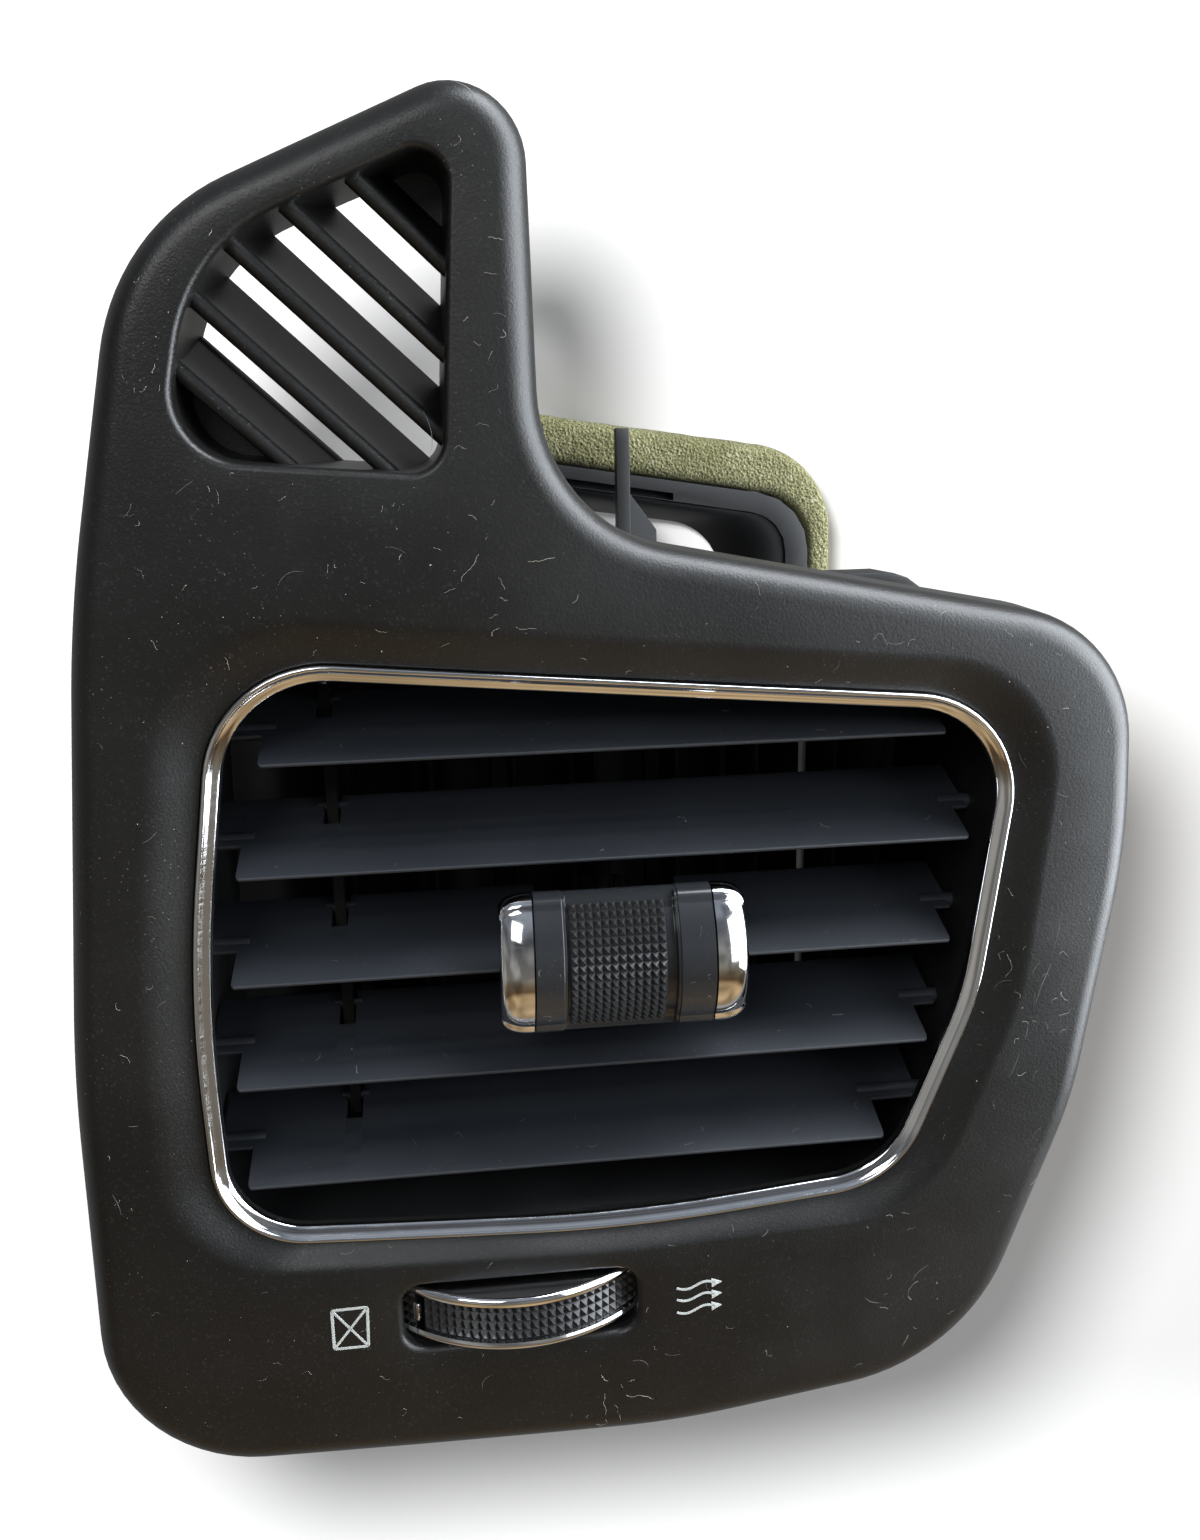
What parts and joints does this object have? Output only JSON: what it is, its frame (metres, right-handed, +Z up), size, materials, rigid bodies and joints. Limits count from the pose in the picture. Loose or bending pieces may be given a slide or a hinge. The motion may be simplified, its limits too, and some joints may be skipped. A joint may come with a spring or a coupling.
{
  "type": "dashboard air vent",
  "caption": "Dashboard end vent: tower with slatted side-window outlet, chrome-ringed louvres, sliding knob, thumbwheel shut-off and foam-sealed inlet collar.",
  "frame": {"origin": "middle of the rear face of the lower fixing tab", "axes": "+X along the blades to the vent's right as seen from the cabin, +Y into the dashboard, +Z up"},
  "size_m": [0.1827, 0.105, 0.2295],
  "materials": {
    "grained_charcoal": "fine matte grain, charcoal",
    "satin_black": "satin bluish black",
    "plain_black": "plain moulded black",
    "gloss_black": "gloss black",
    "soft_black": "soft-touch black with a knurl",
    "bright_chrome": "bright chrome plating",
    "olive_foam": "open-cell olive foam",
    "zinc_steel": "zinc-plated steel"
  },
  "bodies": {
    "vent_body": {"front_bezel": "grained_charcoal", "trim_ring": "bright_chrome", "vane_housing": "plain_black", "blade_bearing_left": "plain_black", "blade_bearing_right": "plain_black", "shutter_duct": "plain_black", "inlet_collar": "plain_black", "inlet_seal": "olive_foam", "wheel_bracket": "plain_black", "wheel_axle": "zinc_steel", "bezel_screw_1": "zinc_steel", "bezel_screw_2": "zinc_steel", "bezel_screw_3": "zinc_steel", "bezel_screw_4": "zinc_steel", "bracket_screw_1": "zinc_steel", "bracket_screw_2": "zinc_steel", "retaining_clip_1": "zinc_steel", "retaining_clip_2": "zinc_steel", "retaining_clip_3": "zinc_steel"},
    "blade_1_body": {"blade_1": "satin_black"},
    "blade_2_body": {"blade_2": "satin_black"},
    "blade_3_body": {"blade_3": "satin_black"},
    "blade_4_body": {"blade_4": "satin_black"},
    "blade_5_body": {"blade_5": "satin_black"},
    "blade_link_body": {"blade_tie_bar": "plain_black"},
    "knob": {"knob_body": "gloss_black", "knob_grip": "soft_black", "knob_cap_left": "bright_chrome", "knob_cap_right": "bright_chrome", "knob_slider": "plain_black"},
    "vane_1_body": {"vane_1": "plain_black"},
    "vane_2_body": {"vane_2": "plain_black"},
    "vane_3_body": {"vane_3": "plain_black"},
    "vane_4_body": {"vane_4": "plain_black"},
    "vane_5_body": {"vane_5": "plain_black"},
    "vane_6_body": {"vane_6": "plain_black"},
    "vane_7_body": {"vane_7": "plain_black"},
    "vane_link_body": {"vane_tie_bar": "plain_black"},
    "thumbwheel": {"wheel_hub": "plain_black", "wheel_grip": "soft_black", "wheel_rim_upper": "bright_chrome", "wheel_rim_lower": "bright_chrome", "wheel_marker": "bright_chrome"},
    "shutter_1_body": {"shutter_1": "plain_black"},
    "shutter_2_body": {"shutter_2": "plain_black"},
    "shutter_3_body": {"shutter_3": "plain_black"},
    "shutter_link_body": {"shutter_link": "plain_black"}
  },
  "joints": [
    {"name": "blade_1_tilt", "type": "hinge", "parent": "vent_body", "child": "blade_1_body", "pos_m": [-0.0447, 0.0023, 0.1157], "axis": [1, 0, 0], "range_deg": [-25, 25]},
    {"name": "blade_2_tilt", "type": "hinge", "parent": "vent_body", "child": "blade_2_body", "pos_m": [-0.0447, 0.0023, 0.0967], "axis": [1, 0, 0], "range_deg": [-25, 25]},
    {"name": "blade_3_tilt", "type": "hinge", "parent": "vent_body", "child": "blade_3_body", "pos_m": [-0.0447, 0.0023, 0.0777], "axis": [1, 0, 0], "range_deg": [-25, 25]},
    {"name": "blade_4_tilt", "type": "hinge", "parent": "vent_body", "child": "blade_4_body", "pos_m": [-0.0447, 0.0023, 0.0587], "axis": [1, 0, 0], "range_deg": [-25, 25]},
    {"name": "blade_5_tilt", "type": "hinge", "parent": "vent_body", "child": "blade_5_body", "pos_m": [-0.0447, 0.0023, 0.0397], "axis": [1, 0, 0], "range_deg": [-25, 25]},
    {"name": "blade_link_swing", "type": "hinge", "parent": "blade_3_body", "child": "blade_link_body", "pos_m": [-0.093, 0.01029, 0.08061], "axis": [1, 0, 0], "range_deg": [-25, 25]},
    {"name": "knob_slide", "type": "slide", "parent": "blade_3_body", "child": "knob", "axis": [1, 0, 0], "range_m": [-0.011, 0.011]},
    {"name": "vane_1_swing", "type": "hinge", "parent": "vent_body", "child": "vane_1_body", "pos_m": [-0.0912, 0.031, 0.0777], "axis": [0, 0, 1], "range_deg": [-32, 32]},
    {"name": "vane_2_swing", "type": "hinge", "parent": "vent_body", "child": "vane_2_body", "pos_m": [-0.0757, 0.031, 0.0777], "axis": [0, 0, 1], "range_deg": [-32, 32]},
    {"name": "vane_3_swing", "type": "hinge", "parent": "vent_body", "child": "vane_3_body", "pos_m": [-0.0602, 0.031, 0.0777], "axis": [0, 0, 1], "range_deg": [-32, 32]},
    {"name": "vane_4_swing", "type": "hinge", "parent": "vent_body", "child": "vane_4_body", "pos_m": [-0.0447, 0.031, 0.0777], "axis": [0, 0, 1], "range_deg": [-32, 32]},
    {"name": "vane_5_swing", "type": "hinge", "parent": "vent_body", "child": "vane_5_body", "pos_m": [-0.0292, 0.031, 0.0777], "axis": [0, 0, 1], "range_deg": [-32, 32]},
    {"name": "vane_6_swing", "type": "hinge", "parent": "vent_body", "child": "vane_6_body", "pos_m": [-0.0137, 0.031, 0.0777], "axis": [0, 0, 1], "range_deg": [-32, 32]},
    {"name": "vane_7_swing", "type": "hinge", "parent": "vent_body", "child": "vane_7_body", "pos_m": [0.0018, 0.031, 0.0777], "axis": [0, 0, 1], "range_deg": [-32, 32]},
    {"name": "vane_link_swing", "type": "hinge", "parent": "vane_4_body", "child": "vane_link_body", "pos_m": [-0.0447, 0.0385, 0.049], "axis": [0, 0, 1], "range_deg": [-32, 32]},
    {"name": "wheel_turn", "type": "hinge", "parent": "vent_body", "child": "thumbwheel", "pos_m": [-0.0643, 0.0104, 0.0124], "axis": [0, 0, 1], "range_deg": [0, 74]},
    {"name": "shutter_1_swing", "type": "hinge", "parent": "vent_body", "child": "shutter_1_body", "pos_m": [-0.08, 0.0625, 0.0777], "axis": [0, 0, 1], "range_deg": [0, 74]},
    {"name": "shutter_2_swing", "type": "hinge", "parent": "vent_body", "child": "shutter_2_body", "pos_m": [-0.046, 0.0625, 0.0777], "axis": [0, 0, 1], "range_deg": [0, 74]},
    {"name": "shutter_3_swing", "type": "hinge", "parent": "vent_body", "child": "shutter_3_body", "pos_m": [-0.012, 0.0625, 0.0777], "axis": [0, 0, 1], "range_deg": [0, 74]},
    {"name": "shutter_link_swing", "type": "hinge", "parent": "thumbwheel", "child": "shutter_link_body", "pos_m": [-0.06972, 0.00321, 0.0203], "axis": [0, 0, 1], "range_deg": [-74, 0]}
  ],
  "couplings": [
    {"joint": "blade_1_tilt", "follows": "blade_3_tilt", "ratio": 1},
    {"joint": "blade_2_tilt", "follows": "blade_3_tilt", "ratio": 1},
    {"joint": "blade_4_tilt", "follows": "blade_3_tilt", "ratio": 1},
    {"joint": "blade_5_tilt", "follows": "blade_3_tilt", "ratio": 1},
    {"joint": "blade_link_swing", "follows": "blade_3_tilt", "ratio": -1},
    {"joint": "vane_1_swing", "follows": "knob_slide", "rad_per_m": 50},
    {"joint": "vane_2_swing", "follows": "knob_slide", "rad_per_m": 50},
    {"joint": "vane_3_swing", "follows": "knob_slide", "rad_per_m": 50},
    {"joint": "vane_4_swing", "follows": "knob_slide", "rad_per_m": 50},
    {"joint": "vane_5_swing", "follows": "knob_slide", "rad_per_m": 50},
    {"joint": "vane_6_swing", "follows": "knob_slide", "rad_per_m": 50},
    {"joint": "vane_7_swing", "follows": "knob_slide", "rad_per_m": 50},
    {"joint": "vane_link_swing", "follows": "knob_slide", "rad_per_m": -50},
    {"joint": "shutter_1_swing", "follows": "wheel_turn", "ratio": 1},
    {"joint": "shutter_2_swing", "follows": "wheel_turn", "ratio": 1},
    {"joint": "shutter_3_swing", "follows": "wheel_turn", "ratio": 1},
    {"joint": "shutter_link_swing", "follows": "wheel_turn", "ratio": -1}
  ]
}
